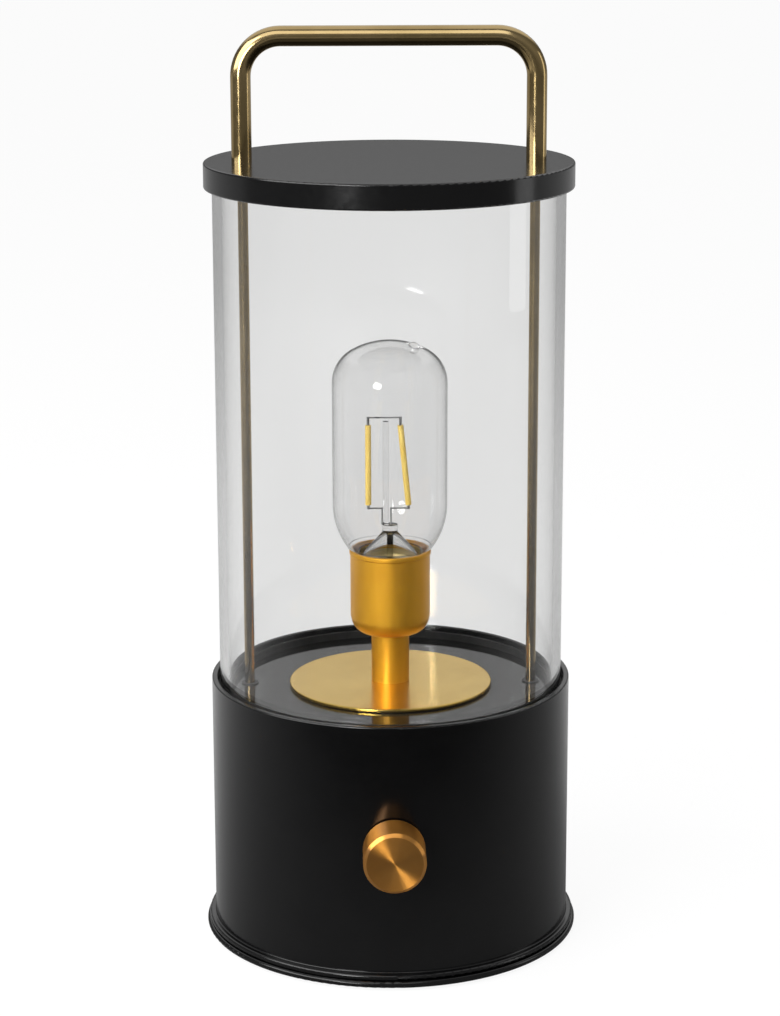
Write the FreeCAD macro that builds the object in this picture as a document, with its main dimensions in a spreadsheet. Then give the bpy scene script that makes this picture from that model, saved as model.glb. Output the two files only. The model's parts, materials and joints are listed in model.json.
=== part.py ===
import FreeCAD, Part
import os
import re
from math import atan2, sin, sqrt, tan

import Sketcher
from FreeCAD import Placement, Rotation, Vector

# A portable lantern lamp, in millimetres, +Z up, standing on Z = 0 with the
# lamp's own axis on the Z axis.  The dimmer knob faces -Y, and the two tie rods
# and the handle's legs stand at +X and -X.
#
# From the bottom up: a rubber pad in a heavy foot, a steel drum that holds the
# battery and the driver, a sunk deck with the lampholder on it, a glass tube
# standing in the deck's recess, a lid over the glass, and a bent brass handle.
# Two long tie rods screw into the handle's legs, pass through the lid and the
# deck, and are pulled down by nuts below the deck, which clamps the glass.

SIZES = {
    # Foot and pad
    "foot_overhang": 3.4,
    "foot_rim_height": 2.6,
    "foot_edge_round": 1.2,
    "foot_core_height": 1.5,
    "pad_thickness": 2.0,
    "pad_recess": 1.0,
    "pad_margin": 7.5,
    "pad_edge_round": 0.4,
    # Drum
    "drum_radius": 70.1,
    "drum_wall": 2.3,
    "drum_height": 99.9,
    "drum_bead_overhang": 2.5,
    "drum_bead_height": 2.4,
    "drum_bead_round": 1.1,
    "drum_bead_hollow": 0.5,
    "drum_rim_round": 0.6,
    "ledge_width": 5.0,
    "ledge_thickness": 1.5,
    "ledge_root": 1.0,
    # Deck
    "deck_recess": 4.0,
    "deck_thickness": 2.0,
    # Pillars between deck and foot, and their screws
    "pillar_inset": 10.8,
    "pillar_radius": 4.0,
    "pillar_screw_radius": 2.0,
    "pillar_screw_reach": 8.0,
    "pillar_tap_spare": 1.0,
    "pillar_screw_head": 3.8,
    # Glass and its two gaskets
    "glass_margin": 0.9,
    "glass_wall": 3.5,
    "glass_length": 199.5,
    "glass_edge_round": 0.9,
    "gasket_thickness": 1.6,
    "gasket_lip_width": 1.0,
    "gasket_lip_height": 1.3,
    # Lid
    "lid_height": 9.6,
    "lid_plate": 2.5,
    "lid_gap": 0.7,
    "lid_edge_round": 0.7,
    # Handle and tie rods
    "rod_inset": 7.9,
    "rod_radius": 2.0,
    "rod_tail": 10.5,
    "handle_radius": 3.85,
    "handle_rise": 46.5,
    "handle_bend": 15.0,
    "handle_tap_depth": 12.0,
    "rod_tap_spare": 1.0,
    "bush_wall": 0.65,
    "bush_flange_width": 0.6,
    "bush_flange_thickness": 0.5,
    "rod_washer_radius": 4.5,
    "rod_washer_thickness": 0.8,
    "rod_nut_flats": 7.0,
    "rod_nut_height": 3.2,
    # Gold disc, stem and the threaded pipe in it
    "disc_radius": 39.7,
    "disc_thickness": 1.5,
    "disc_edge_round": 0.5,
    "stem_radius": 7.4,
    "stem_length": 19.5,
    "pipe_radius": 5.0,
    "pipe_wall": 1.5,
    "pipe_nut_flats": 14.0,
    "pipe_nut_height": 4.0,
    "pipe_washer_radius": 8.5,
    "pipe_washer_thickness": 1.2,
    "pipe_tail": 8.0,
    # Lampholder
    "holder_floor": 2.5,
    "holder_cap_height": 6.7,
    "holder_cap_wall": 1.7,
    "holder_cap_round": 6.5,
    "holder_cap_hollow": 3.8,
    "holder_step": 0.25,
    "sleeve_wall": 0.8,
    "sleeve_rise": 1.2,
    "sleeve_lip": 0.35,
    "sleeve_lip_height": 1.9,
    "sleeve_lip_round": 0.5,
    "insulator_wall": 0.8,
    "insulator_floor": 1.6,
    "insulator_lift": 1.4,
    "insulator_well_inset": 1.6,
    "insulator_well_depth": 2.2,
    "insulator_drop": 4.6,
    "shell_wall": 0.4,
    "shell_drop": 2.6,
    "contact_length": 18.0,
    "contact_width": 5.0,
    "contact_thickness": 0.4,
    "contact_rise": 0.7,
    "contact_crown": 4.0,
    "contact_slope": 2.0,
    # Bulb
    "bulb_length": 109.0,
    "bulb_cap_radius": 13.0,
    "bulb_cap_height": 25.6,
    "bulb_cap_wall": 0.4,
    "bulb_cap_cone": 2.4,
    "bulb_tip_radius": 4.8,
    "bulb_tip_height": 1.0,
    "bulb_tip_round": 0.6,
    "bulb_insulator_inset": 3.6,
    "bulb_insulator_cone": 2.2,
    "bulb_insulator_rim": 1.3,
    "bulb_thread_gap": 0.4,
    "globe_radius": 22.25,
    "globe_wall": 0.7,
    "globe_crown": 30.6,
    "globe_dome_round": 14.0,
    "globe_shoulder": 28.7,
    "globe_shoulder_rise": 45.0,
    "globe_throat": 16.6,
    "globe_neck_rise": 0.7,
    "globe_neck_depth": 3.0,
    "globe_nub_radius": 2.3,
    "globe_nub_sunk": 0.9,
    "globe_nub_across": 9.1,
    "globe_nub_forward": 2.4,
    # Glass flare, filaments and wires inside the bulb
    "flare_thickness": 1.2,
    "flare_drop": 1.4,
    "press_rise": 8.0,
    "press_radius": 3.0,
    "press_height": 3.0,
    "exhaust_radius": 1.2,
    "exhaust_drop": 12.0,
    "stem_rod_radius": 1.15,
    "stem_rod_offset": 1.6,
    "filament_radius": 1.15,
    "filament_length": 31.5,
    "filament_base": 44.5,
    "filament_left": 8.4,
    "filament_right_top": 4.1,
    "filament_right_base": 7.2,
    "bulb_wire_radius": 0.3,
    "bulb_wire_bend": 0.6,
    "bulb_wire_top": 3.0,
    "bulb_wire_drop": 1.4,
    # Knob and dimmer
    "knob_height": 56.2,
    "knob_radius": 11.75,
    "knob_length": 15.8,
    "knob_gap": 1.1,
    "knob_chamfer": 1.2,
    "knob_back_round": 0.4,
    "knob_recess_radius": 8.5,
    "knob_recess_depth": 5.2,
    "knob_bore_depth": 7.0,
    "knob_screw_radius": 1.5,
    "knob_screw_sunk": 2.0,
    "shaft_radius": 2.95,
    "shaft_flat": 2.4,
    "shaft_root": 3.0,
    "bushing_radius": 3.5,
    "bushing_length": 8.8,
    "dimmer_radius": 8.25,
    "dimmer_depth": 9.0,
    "dimmer_edge_round": 0.8,
    "saddle_thickness": 1.3,
    "saddle_gap": 0.15,
    "dimmer_washer_radius": 6.2,
    "dimmer_washer_thickness": 0.7,
    "dimmer_nut_flats": 10.0,
    "dimmer_nut_height": 2.0,
    # Driver board under the deck, and what stands on it
    "standoff_length": 14.0,
    "standoff_radius": 2.75,
    "board_screw_radius": 1.5,
    "board_screw_head": 2.0,
    "board_screw_reach": 5.0,
    "board_length": 60.0,
    "board_width": 36.0,
    "board_thickness": 1.6,
    "board_offset": 12.0,
    "board_hole_inset": 4.0,
    "board_corner_round": 2.0,
    "board_parts_line": 21.6,
    "inductor_radius": 6.5,
    "inductor_bore": 2.5,
    "inductor_height": 9.0,
    "inductor_place": 15.0,
    "capacitor_radius": 4.0,
    "capacitor_height": 12.0,
    "capacitor_pitch": 10.0,
    "controller_length": 8.0,
    "controller_width": 6.0,
    "controller_height": 1.6,
    "terminals_length": 40.0,
    "terminals_width": 7.0,
    "terminals_height": 8.0,
    "terminals_inset": 1.0,
    # Battery on the foot
    "cell_radius": 9.2,
    "cell_length": 65.2,
    "cell_pitch": 21.0,
    "tray_floor": 2.0,
    "tray_height": 9.5,
    "tray_wall": 2.0,
    "tray_corner_round": 2.0,
    "strap_width": 14.0,
    "strap_thickness": 0.8,
    "strap_bend": 3.0,
    # Charging socket at the back
    "socket_width": 9.0,
    "socket_height": 3.2,
    "socket_depth": 7.4,
    "socket_wall": 0.3,
    "socket_corner_spare": 0.1,
    "socket_back": 0.5,
    "socket_level": 14.9,
    "socket_setback": 0.8,
    "tongue_width": 6.6,
    "tongue_thickness": 0.7,
    "tongue_setback": 1.0,
    "socket_board_width": 16.0,
    "socket_board_depth": 15.0,
    "socket_board_thickness": 1.2,
    "socket_block_width": 18.0,
    "socket_block_depth": 12.0,
    "socket_block_setback": 1.2,
    # Wires inside
    "lead_radius": 0.9,
    "lead_bend": 5.0,
    "lead_pitch": 2.6,
    "lead_drop": 4.0,
    "lamp_lead_rise": 0.8,
    "dimmer_lead_level": 2.0,
    "dimmer_lead_turn": 18.0,
    "battery_lead_reach": 8.0,
    "battery_lead_place": 17.0,
    "battery_lead_level": 6.5,
    "charge_lead_reach": 9.0,
    "charge_lead_level": 14.0,
    # Clearances
    "fit_gap": 0.3,
    "slip_gap": 0.1,
    "turn_gap": 0.05,
}

PLACES = {
    # Heights, from the foot up
    "foot_bottom": "pad_thickness - pad_recess",
    "foot_rim_top": "foot_bottom + foot_rim_height",
    "foot_core_top": "foot_rim_top + foot_core_height",
    "drum_top": "foot_rim_top + drum_height",
    "deck_top": "drum_top - deck_recess",
    "deck_bottom": "deck_top - deck_thickness",
    "glass_bottom": "deck_top + gasket_thickness",
    "glass_top": "glass_bottom + glass_length",
    "lid_roof": "glass_top + gasket_thickness",
    "lid_top": "lid_roof + lid_plate",
    "lid_bottom": "lid_top - lid_height",
    "handle_level": "lid_top + handle_rise",
    "rod_washer_bottom": "deck_bottom - rod_washer_thickness",
    "pipe_washer_bottom": "deck_bottom - pipe_washer_thickness",
    # Heights in the lampholder and the bulb
    "disc_top": "deck_top + disc_thickness",
    "holder_bottom": "disc_top + stem_length",
    "holder_floor_top": "holder_bottom + holder_floor",
    "holder_cap_top": "holder_bottom + holder_cap_height",
    "well_floor": "holder_floor_top + insulator_lift",
    "contact_seat": "well_floor + insulator_floor",
    "well_top": "contact_seat + insulator_well_depth",
    "contact_top": "contact_seat + contact_rise",
    "bulb_bottom": "contact_top + fit_gap",
    "bulb_base": "bulb_bottom + bulb_tip_height + slip_gap",
    "bulb_cone_top": "bulb_base + bulb_insulator_cone",
    "bulb_cap_rim": "bulb_bottom + bulb_cap_height",
    "bulb_shoulder": "bulb_bottom + globe_shoulder_rise",
    "bulb_top": "bulb_bottom + bulb_length",
    "globe_neck_bottom": "bulb_cap_rim - globe_neck_depth",
    "press_bottom": "bulb_cap_rim + press_rise",
    "press_top": "press_bottom + press_height",
    "globe_nub_reach": "globe_crown - globe_nub_sunk",
    "globe_nub_level": "bulb_top - globe_crown + sqrt(globe_nub_reach ^ 2 - globe_nub_across ^ 2"
                       " - globe_nub_forward ^ 2)",
    "filament_bottom": "bulb_bottom + filament_base",
    "filament_top": "filament_bottom + filament_length",
    "insulator_top": "bulb_cap_rim - insulator_drop",
    "shell_top": "bulb_cap_rim - shell_drop",
    "sleeve_top": "bulb_cap_rim + sleeve_rise",
    # Radii and distances from the lamp's axis
    "drum_inner": "drum_radius - drum_wall",
    "foot_radius": "drum_radius + foot_overhang",
    "pad_radius": "foot_radius - pad_margin",
    "pillar_circle": "drum_inner - pillar_inset",
    "deck_radius": "drum_inner - fit_gap",
    "glass_radius": "drum_inner - glass_margin",
    "glass_inner": "glass_radius - glass_wall",
    "gasket_lip": "glass_inner - fit_gap",
    "lid_inner": "glass_radius + lid_gap",
    "rod_place": "glass_inner - rod_inset",
    "rod_hole": "rod_radius + slip_gap",
    "bush_radius": "rod_hole + bush_wall",
    "pipe_hole": "pipe_radius + slip_gap",
    "shell_inner": "bulb_cap_radius + bulb_thread_gap",
    "shell_outer": "shell_inner + shell_wall",
    "insulator_inner": "shell_outer + turn_gap",
    "insulator_outer": "insulator_inner + insulator_wall",
    "sleeve_inner": "insulator_outer + slip_gap",
    "sleeve_outer": "sleeve_inner + sleeve_wall",
    "holder_cap_radius": "sleeve_outer - holder_step",
    "holder_cap_inner": "holder_cap_radius - holder_cap_wall",
    "well_outer": "holder_cap_inner - insulator_well_inset",
    "well_inner": "well_outer - insulator_wall",
    "globe_neck": "bulb_cap_radius - bulb_cap_wall - slip_gap",
    "flare_radius": "globe_neck - globe_wall - slip_gap",
    # Along the knob's axis, from the lamp's axis outwards
    "dimmer_front": "drum_inner - saddle_thickness",
    "dimmer_back": "dimmer_front - dimmer_depth",
    "bushing_end": "dimmer_front + bushing_length",
    "washer_back": "drum_radius + turn_gap",
    "nut_back": "washer_back + dimmer_washer_thickness",
    "knob_back": "drum_radius + knob_gap",
    "knob_front": "knob_back + knob_length",
    "knob_floor": "knob_back + knob_recess_depth",
    "knob_bore": "shaft_radius + turn_gap",
    "knob_bore_end": "knob_floor + knob_bore_depth",
    "knob_screw_level": "knob_floor + knob_bore_depth / 2",
    "shaft_end": "knob_bore_end - fit_gap",
    # Inside the drum
    "board_top": "deck_bottom - standoff_length",
    "board_bottom": "board_top - board_thickness",
    "board_far": "board_offset + board_width",
    "terminals_near": "board_offset + terminals_inset",
    "lead_level": "board_bottom - lead_drop",
    "cell_level": "foot_core_top + tray_floor + cell_radius + fit_gap",
    "tray_half_length": "cell_length / 2 + fit_gap + tray_wall",
    "tray_half_width": "cell_pitch / 2 + cell_radius + tray_wall",
    "strap_inner": "tray_half_width + fit_gap",
    "strap_outer": "strap_inner + strap_thickness",
    "strap_top": "cell_level + cell_radius + fit_gap",
    "socket_axis": "foot_core_top + socket_level",
    "socket_face": "drum_radius - socket_setback",
    "socket_seat": "socket_axis - socket_height / 2",
    "socket_board_bottom": "socket_seat - socket_board_thickness",
    "socket_block_face": "drum_inner - socket_block_setback",
    "socket_board_back": "socket_block_face - socket_board_depth",
    "battery_lead_end": "tray_half_length + battery_lead_reach",
}

doc = FreeCAD.newDocument("LanternLamp")
sheet = doc.addObject("Spreadsheet::Sheet", "sizes")
for row, (alias, size) in enumerate(SIZES.items(), start=1):
    sheet.set(f"A{row}", alias)
    sheet.set(f"B{row}", str(size))
    sheet.setAlias(f"B{row}", alias)
doc.recompute()

parts = []


# ---------------------------------------------------------------- sizes

def expression(text):
    """Spell a size out in the sheet's cells: places are worked out, sizes are looked up."""
    def spell(match):
        word = match.group(0)
        if word in PLACES:
            return "(" + expression(PLACES[word]) + ")"
        if word in SIZES:
            return "sizes." + word
        return word
    return re.sub(r"[A-Za-z_]\w*", spell, str(text))


def value(text):
    return float(sheet.evalExpression(expression(text)))


def point(x, y):
    return Vector(value(x), value(y), 0)


# ---------------------------------------------------------------- sketches

def origin_feature(body, role):
    return next(feature for feature in body.Origin.OriginFeatures if feature.Role == role)


def new_body(label):
    body = doc.addObject("PartDesign::Body", label)
    body.Label = label
    parts.append(body)
    return body


def new_sketch(body, plane, offset="0"):
    """A sketch on one of the body's own origin planes, moved along that plane's normal."""
    sketch = body.newObject("Sketcher::SketchObject", "sketch")
    sketch.AttachmentSupport = (origin_feature(body, plane), [""])
    sketch.MapMode = "FlatFace"
    sketch.setExpression("AttachmentOffset.Base.z", expression(offset))
    return sketch


def hold(sketch, kind, *where, size):
    """Add a constraint and tie its value to the sizes."""
    index = sketch.addConstraint(Sketcher.Constraint(kind, *where, value(size)))
    sketch.setExpression(f"Constraints[{index}]", expression(size))


def hold_point(sketch, geometry, end, x, y):
    hold(sketch, "DistanceX", -1, 1, geometry, end, size=x)
    hold(sketch, "DistanceY", -1, 1, geometry, end, size=y)


def join(sketch, kind, *ends):
    sketch.addConstraint(Sketcher.Constraint(kind, *ends))


def rounding(before, corner, after, radius):
    """The two touching points and the centre of the arc that rounds a corner."""
    back = (before - corner).normalize()
    ahead = (after - corner).normalize()
    half = back.getAngle(ahead) / 2
    reach = radius / tan(half)
    centre = corner + (back + ahead).normalize() * (radius / sin(half))
    return corner + back * reach, corner + ahead * reach, centre


def add_arc(sketch, centre, radius, start, end):
    """Add the shorter arc from start to end; give its number and which end each one is."""
    first, last = start - centre, end - centre
    forward = first.cross(last).z > 0
    if not forward:
        first, last = last, first
    low = atan2(first.y, first.x)
    high = atan2(last.y, last.x)
    circle = Part.Circle(centre, Vector(0, 0, 1), radius)
    arc = sketch.addGeometry(Part.ArcOfCircle(circle, low, high))
    return (arc, 1, 2) if forward else (arc, 2, 1)


def draw_outline(sketch, corners, closed=True):
    """Join corners by straight lines; a corner is (x, y) or (x, y, rounding radius)."""
    count = len(corners)
    at = [point(corner[0], corner[1]) for corner in corners]
    start, end = list(at), [at[(i + 1) % count] for i in range(count)]
    arcs = {}
    for i, corner in enumerate(corners):
        if len(corner) == 3:
            arcs[i] = rounding(at[i - 1], at[i], at[(i + 1) % count], value(corner[2]))
            end[i - 1], start[i] = arcs[i][0], arcs[i][1]
    first = sketch.GeometryCount
    for i in range(count if closed else count - 1):
        sketch.addGeometry(Part.LineSegment(start[i], end[i]))
    for i, corner in enumerate(corners):
        line = first + i
        previous = first + (i - 1) % count
        if i in arcs:
            touch, leave, centre = arcs[i]
            arc, near, far = add_arc(sketch, centre, value(corner[2]), touch, leave)
            join(sketch, "Tangent", previous, 2, arc, near)
            join(sketch, "Tangent", arc, far, line, 1)
            hold(sketch, "Radius", arc, size=corner[2])
            tip = sketch.addGeometry(Part.Point(at[i]), True)
            join(sketch, "PointOnObject", tip, 1, previous)
            join(sketch, "PointOnObject", tip, 1, line)
            hold_point(sketch, tip, 1, corner[0], corner[1])
        elif closed or 0 < i < count - 1:
            join(sketch, "Coincident", previous, 2, line, 1)
            hold_point(sketch, line, 1, corner[0], corner[1])
        elif i == 0:
            hold_point(sketch, line, 1, corner[0], corner[1])
        else:
            hold_point(sketch, previous, 2, corner[0], corner[1])


def draw_circles(sketch, radius, *centres):
    for x, y in centres:
        circle = Part.Circle(point(x, y), Vector(0, 0, 1), value(radius))
        index = sketch.addGeometry(circle)
        hold(sketch, "Radius", index, size=radius)
        hold_point(sketch, index, 3, x, y)


def draw_ring(sketch, outer, inner, *centres):
    draw_circles(sketch, outer, *centres)
    draw_circles(sketch, inner, *centres)


def draw_rectangle(sketch, left, right, low, high, corner=None):
    """A rectangle between four sides, with its corners rounded where a radius is given."""
    corners = [(left, low), (right, low), (right, high), (left, high)]
    if corner:
        corners = [(x, y, corner) for x, y in corners]
    draw_outline(sketch, corners)


def draw_hexagon(sketch, flats, x="0", y="0"):
    """A hexagon with a corner up, this far across its flats."""
    corners = []
    for turn in range(30, 390, 60):
        across = f"{flats} / sqrt(3) * cos({turn} deg)"
        along = f"{flats} / sqrt(3) * sin({turn} deg)"
        corners.append((f"{x} + {across}", f"{y} + {along}"))
    draw_outline(sketch, corners)


# ---------------------------------------------------------------- features

def turn_sketch(body, sketch, kind="Revolution", centre_line="V_Axis"):
    """Turn a sketch right round a line; a Groove takes its shape out of the body."""
    feature = body.newObject(f"PartDesign::{kind}", kind.lower())
    feature.Profile = sketch
    feature.ReferenceAxis = (sketch, [centre_line])
    feature.Angle = 360
    return feature


def turn_outline(body, corners, kind="Revolution", axis=None):
    """Turn an outline of (distance, height) about the body's Z axis, or a line beside it."""
    sketch = new_sketch(body, "XZ_Plane")
    draw_outline(sketch, corners)
    if axis is None:
        return turn_sketch(body, sketch, kind)
    line = sketch.addGeometry(Part.LineSegment(point(axis, "0"), point(axis, "1")), True)
    hold_point(sketch, line, 1, axis, "0")
    hold_point(sketch, line, 2, axis, "1")
    return turn_sketch(body, sketch, kind, "Axis0")


def turned(label, corners, axis=None):
    body = new_body(label)
    turn_outline(body, corners, axis=axis)
    return body


def add_pad(body, sketch, length, reverse=False, middle=False):
    pad = body.newObject("PartDesign::Pad", "pad")
    pad.Profile = sketch
    pad.setExpression("Length", expression(length))
    pad.Reversed = reverse
    pad.Midplane = middle
    return pad


def add_pocket(body, sketch, length=None, reverse=False, middle=False):
    """Cut against the sketch's normal, or along it when reversed; right through with no length."""
    pocket = body.newObject("PartDesign::Pocket", "pocket")
    pocket.Profile = sketch
    pocket.Reversed = reverse
    pocket.Midplane = middle
    if length is None:
        pocket.Type = "ThroughAll"
    else:
        pocket.setExpression("Length", expression(length))
    return pocket


def around_axis(body, feature, count):
    """Repeat a feature evenly about the lamp's axis."""
    pattern = body.newObject("PartDesign::PolarPattern", "pattern")
    pattern.Originals = [feature]
    pattern.Axis = (origin_feature(body, "Z_Axis"), [""])
    pattern.Angle = 360
    pattern.Occurrences = count
    body.Tip = pattern


def padded(label, bottom, height, draw, reverse=False):
    """A body padded up from a height, or down from it, its section drawn by the function given."""
    body = new_body(label)
    sketch = new_sketch(body, "XY_Plane", bottom)
    draw(sketch)
    add_pad(body, sketch, height, reverse=reverse)
    return body


def between_rods(body):
    """Turn a body by an eighth, so that what stands at +X comes to lie between the rods."""
    body.Placement = Placement(Vector(), Rotation(Vector(0, 0, 1), 45))


def both_rods():
    return ("-rod_place", "0"), ("rod_place", "0")


def routed(label, routes, radius, bend):
    """Round wires along corner points, each a run of straight lines and tangent arcs."""
    wires = []
    for route in routes:
        at = [Vector(*(value(size) for size in spot)) for spot in route]
        edges = []
        last = at[0]
        for i in range(1, len(at) - 1):
            touch, leave, centre = rounding(at[i - 1], at[i], at[i + 1], value(bend))
            middle = centre + (at[i] - centre).normalize() * value(bend)
            edges.append(Part.LineSegment(last, touch).toShape())
            edges.append(Part.Arc(touch, middle, leave).toShape())
            last = leave
        edges.append(Part.LineSegment(last, at[-1]).toShape())
        ring = Part.Circle(at[0], at[1] - at[0], value(radius)).toShape()
        wires.append(Part.Wire(edges).makePipeShell([Part.Wire(ring)], True, False))
    feature = doc.addObject("Part::Feature", label)
    feature.Label = label
    feature.Shape = wires[0] if len(wires) == 1 else Part.makeCompound(wires)
    feature.Placement = Placement()
    parts.append(feature)


# ---------------------------------------------------------------- foot and drum

def make_rest_pad():
    turned("rest_pad", [
        ("0", "0"),
        ("pad_radius", "0", "pad_edge_round"),
        ("pad_radius", "pad_thickness"),
        ("0", "pad_thickness"),
    ])


def screw_outline(gap, top):
    """Half of a countersunk screw, its head flush with the recess for the pad, grown by a gap."""
    neck = f"pillar_circle + pillar_screw_radius + {gap}"
    return [
        ("pillar_circle", "pad_thickness"),
        (f"pillar_circle + pillar_screw_head + {gap}", "pad_thickness"),
        (neck, "pad_thickness + pillar_screw_head - pillar_screw_radius"),
        (neck, top),
        ("pillar_circle", top),
    ]


def make_foot():
    """The foot plate: a rounded rim, a sunk face for the pad and a raised core in the drum."""
    body = turned("foot_plate", [
        ("0", "pad_thickness"),
        ("pad_radius + slip_gap", "pad_thickness"),
        ("pad_radius + slip_gap", "foot_bottom"),
        ("foot_radius", "foot_bottom", "foot_edge_round"),
        ("foot_radius", "foot_rim_top", "foot_edge_round"),
        ("deck_radius", "foot_rim_top"),
        ("deck_radius", "foot_core_top"),
        ("0", "foot_core_top"),
    ])
    hole = turn_outline(body, screw_outline("slip_gap", "foot_core_top"), "Groove", "pillar_circle")
    around_axis(body, hole, 4)
    between_rods(body)


def make_foot_screws():
    """Four countersunk screws that hold the foot to the pillars."""
    body = turned("foot_screws", screw_outline("0", "foot_core_top + pillar_screw_reach"),
                  axis="pillar_circle")
    around_axis(body, body.Tip, 4)
    between_rods(body)


def make_pillars():
    """Four pillars under the deck, tapped below; they pull deck, drum and foot together."""
    tap = "pillar_circle + pillar_screw_radius + turn_gap"
    tap_end = "foot_core_top + pillar_screw_reach + pillar_tap_spare"
    body = turned("deck_pillars", [
        ("pillar_circle", "deck_bottom"),
        ("pillar_circle + pillar_radius", "deck_bottom"),
        ("pillar_circle + pillar_radius", "foot_core_top"),
        (tap, "foot_core_top"),
        (tap, tap_end),
        ("pillar_circle", tap_end),
    ], axis="pillar_circle")
    around_axis(body, body.Tip, 4)
    between_rods(body)


def draw_slot(sketch, grow):
    """The charging socket's rounded outline, grown or drawn in by a gap."""
    across = f"(socket_width / 2 + {grow})"
    up = f"(socket_height / 2 + {grow})"
    draw_rectangle(sketch, f"-{across}", across, f"socket_axis - {up}", f"socket_axis + {up}",
                   f"{up} - socket_corner_spare")


def make_drum():
    """The spun drum: a rolled bead at its foot, a ledge for the deck, holes for knob and socket."""
    bead = "drum_radius + drum_bead_overhang"
    bead_top = "foot_rim_top + drum_bead_height"
    ledge = "drum_inner - ledge_width"
    body = turned("drum_shell", [
        ("drum_inner", "foot_rim_top"),
        (bead, "foot_rim_top", "drum_bead_round"),
        (bead, bead_top, "drum_bead_round"),
        ("drum_radius", bead_top, "drum_bead_hollow"),
        ("drum_radius", "drum_top", "drum_rim_round"),
        ("drum_inner", "drum_top", "drum_rim_round"),
        ("drum_inner", "deck_bottom"),
        (ledge, "deck_bottom"),
        (ledge, "deck_bottom - ledge_thickness"),
        ("drum_inner", "deck_bottom - ledge_thickness", "ledge_root"),
    ])
    knob_hole = new_sketch(body, "XZ_Plane")
    draw_circles(knob_hole, "bushing_radius + slip_gap", ("0", "knob_height"))
    add_pocket(body, knob_hole, reverse=True)
    socket_hole = new_sketch(body, "XZ_Plane")
    draw_slot(socket_hole, "fit_gap")
    add_pocket(body, socket_hole)


# ---------------------------------------------------------------- deck, glass and lid

def make_deck():
    """The sunk deck with its holes for the lampholder's pipe and the two tie rods."""
    body = turned("deck_plate", [
        ("pipe_hole", "deck_bottom"),
        ("deck_radius", "deck_bottom"),
        ("deck_radius", "deck_top"),
        ("pipe_hole", "deck_top"),
    ])
    holes = new_sketch(body, "XY_Plane")
    draw_circles(holes, "bush_radius + turn_gap", *both_rods())
    add_pocket(body, holes, reverse=True)


def gasket_outline(face, glass_edge, lip_end):
    """An L-shaped ring: a flat seat under the glass's edge and a lip inside the tube."""
    lip_inner = "gasket_lip - gasket_lip_width"
    outer = "glass_radius + fit_gap"
    return [
        (lip_inner, face),
        (outer, face),
        (outer, glass_edge),
        ("gasket_lip", glass_edge),
        ("gasket_lip", lip_end),
        (lip_inner, lip_end),
    ]


def make_glass():
    """The glass tube between an L-shaped gasket on the deck and another in the lid."""
    turned("glass_seat_gasket",
           gasket_outline("deck_top", "glass_bottom", "glass_bottom + gasket_lip_height"))
    turned("glass_tube", [
        ("glass_inner", "glass_bottom", "glass_edge_round"),
        ("glass_radius", "glass_bottom", "glass_edge_round"),
        ("glass_radius", "glass_top", "glass_edge_round"),
        ("glass_inner", "glass_top", "glass_edge_round"),
    ])
    turned("lid_gasket", gasket_outline("lid_roof", "glass_top", "glass_top - gasket_lip_height"))


def make_lid():
    """The lid: a flat plate with a skirt that drops over the end of the glass."""
    body = turned("lid", [
        ("0", "lid_roof"),
        ("lid_inner", "lid_roof"),
        ("lid_inner", "lid_bottom"),
        ("drum_radius", "lid_bottom", "lid_edge_round"),
        ("drum_radius", "lid_top", "lid_edge_round"),
        ("0", "lid_top"),
    ])
    holes = new_sketch(body, "XY_Plane")
    draw_circles(holes, "rod_hole", *both_rods())
    add_pocket(body, holes, reverse=True)


# ---------------------------------------------------------------- handle and tie rods

def make_handle():
    """The handle, bent from round brass rod, with a tapped hole up each leg."""
    body = new_body("handle")
    route = new_sketch(body, "XZ_Plane")
    draw_outline(route, [
        ("-rod_place", "lid_top"),
        ("-rod_place", "handle_level", "handle_bend"),
        ("rod_place", "handle_level", "handle_bend"),
        ("rod_place", "lid_top"),
    ], closed=False)
    section = new_sketch(body, "XY_Plane", "lid_top")
    draw_circles(section, "handle_radius", ("-rod_place", "0"))
    pipe = body.newObject("PartDesign::AdditivePipe", "pipe")
    pipe.Profile = section
    pipe.Spine = (route, [])
    holes = new_sketch(body, "XY_Plane", "lid_top")
    draw_circles(holes, "rod_radius + turn_gap", *both_rods())
    add_pocket(body, holes, "handle_tap_depth", reverse=True)


def make_tie_rods():
    """The two long rods that tie the handle and the lid down to the deck."""
    length = "lid_top + handle_tap_depth - rod_tap_spare - deck_bottom + rod_tail"
    for label, place in zip(("tie_rod_left", "tie_rod_right"), both_rods()):
        padded(label, "deck_bottom - rod_tail", length,
               lambda sketch, place=place: draw_circles(sketch, "rod_radius", place))


def make_rod_bushes():
    """Dark bushes that guide the rods through the deck, each with a thin flange on top."""
    body = padded("rod_bushes", "deck_bottom", "deck_thickness",
                  lambda sketch: draw_ring(sketch, "bush_radius", "rod_hole", *both_rods()))
    flange = new_sketch(body, "XY_Plane", "deck_top")
    draw_ring(flange, "bush_radius + bush_flange_width", "rod_hole", *both_rods())
    add_pad(body, flange, "bush_flange_thickness")


def make_rod_nuts():
    """A washer and a nut on the tail of each rod, tight under the deck."""
    padded("rod_washers", "rod_washer_bottom", "rod_washer_thickness",
           lambda sketch: draw_ring(sketch, "rod_washer_radius", "rod_hole", *both_rods()))

    def draw_nuts(sketch):
        for x, y in both_rods():
            draw_hexagon(sketch, "rod_nut_flats", x, y)
        draw_circles(sketch, "rod_radius + turn_gap", *both_rods())
    padded("rod_nuts", "rod_washer_bottom", "rod_nut_height", draw_nuts, reverse=True)


# ---------------------------------------------------------------- lampholder

def make_disc():
    turned("gold_disc", [
        ("pipe_hole", "deck_top"),
        ("disc_radius", "deck_top", "disc_edge_round"),
        ("disc_radius", "disc_top", "disc_edge_round"),
        ("pipe_hole", "disc_top"),
    ])


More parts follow.
